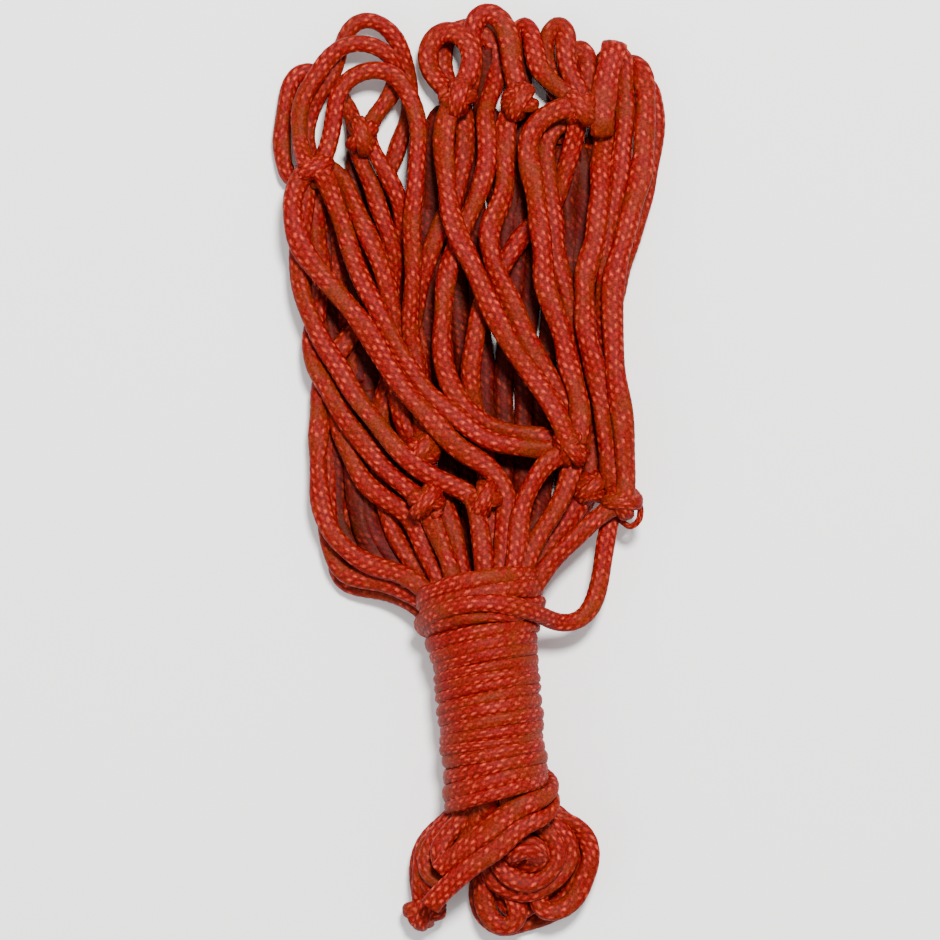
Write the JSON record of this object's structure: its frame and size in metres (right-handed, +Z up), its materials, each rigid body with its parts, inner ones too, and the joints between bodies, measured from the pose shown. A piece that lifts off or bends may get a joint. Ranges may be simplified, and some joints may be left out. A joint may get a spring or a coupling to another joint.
{
  "type": "rope net bundle",
  "caption": "Knotted rope net folded lengthwise into a bundle, its neck bound with close turns of its own draw cord, with looped meshes fanned out above and a rosette of loops below.",
  "frame": {"origin": "centre of the bounding box on the surface that the bundle lies on", "axes": "+Y along the bundle, from the loops at the foot of the neck to the open fan of meshes; +Z up from the surface; +X to the right of someone who looks down with the fan away from them"},
  "size_m": [0.0984, 0.2352, 0.0268],
  "materials": {
    "net_cord": "satin hollow braid",
    "draw_cord": "satin hollow braid"
  },
  "bodies": {
    "bound_neck": {"draw_cord_winding": "draw_cord", "packed_net_core": "net_cord"},
    "mesh_fan": {"arc_loop_outer": "net_cord", "arc_loop_middle": "net_cord", "arc_loop_inner": "net_cord", "edge_loop_left": "net_cord", "top_loop_1": "net_cord", "top_loop_2": "net_cord", "top_loop_3": "net_cord", "top_loop_4": "net_cord", "top_loop_5": "net_cord", "top_loop_6": "net_cord", "folded_loop_right": "net_cord", "right_run_1": "net_cord", "right_run_2": "net_cord", "right_run_3": "net_cord", "right_run_4": "net_cord", "right_run_5": "net_cord", "right_run_6": "net_cord", "left_run_1": "net_cord", "left_run_2": "net_cord", "left_run_3": "net_cord", "left_run_4": "net_cord", "left_run_5": "net_cord", "left_run_6": "net_cord", "left_run_7": "net_cord", "middle_run_1": "net_cord", "middle_run_2": "net_cord", "middle_run_3": "net_cord", "back_run_1": "net_cord", "back_run_2": "net_cord", "back_run_3": "net_cord", "back_run_4": "net_cord", "back_run_5": "net_cord", "neck_leg_1": "net_cord", "neck_leg_2": "net_cord", "neck_leg_3": "net_cord", "draw_cord_bight": "draw_cord", "knot_upper_1": "net_cord", "knot_upper_2": "net_cord", "knot_upper_3": "net_cord", "knot_upper_4": "net_cord", "knot_upper_5": "net_cord", "knot_lower_1": "net_cord", "knot_lower_2": "net_cord", "knot_lower_3": "net_cord", "knot_lower_4": "net_cord", "knot_lower_5": "net_cord", "knot_lower_6": "net_cord"},
    "foot_loops": {"base_ring_outer": "net_cord", "base_ring_inner": "net_cord", "base_loop_right": "net_cord", "base_loop_low_right": "net_cord", "base_loop_bottom": "net_cord", "base_loop_left": "net_cord", "base_loop_low_left": "net_cord", "base_loop_back": "net_cord", "base_knot": "net_cord"},
    "draw_cord_ends": {"draw_cord_end_1": "draw_cord", "draw_cord_end_2": "draw_cord"}
  },
  "joints": [
    {"name": "fan_swing", "type": "hinge", "parent": "bound_neck", "child": "mesh_fan", "pos_m": [0.0025, -0.03, 0.0134], "axis": [0, 0, 1], "range_deg": [-12, 12]},
    {"name": "foot_swing", "type": "hinge", "parent": "bound_neck", "child": "foot_loops", "pos_m": [0.0068, -0.0805, 0.0134], "axis": [0, 0, 1], "range_deg": [-12, 12]},
    {"name": "ends_swing", "type": "hinge", "parent": "bound_neck", "child": "draw_cord_ends", "pos_m": [0.017, -0.0805, 0.0234], "axis": [0, 0, 1], "range_deg": [-10, 12]}
  ]
}
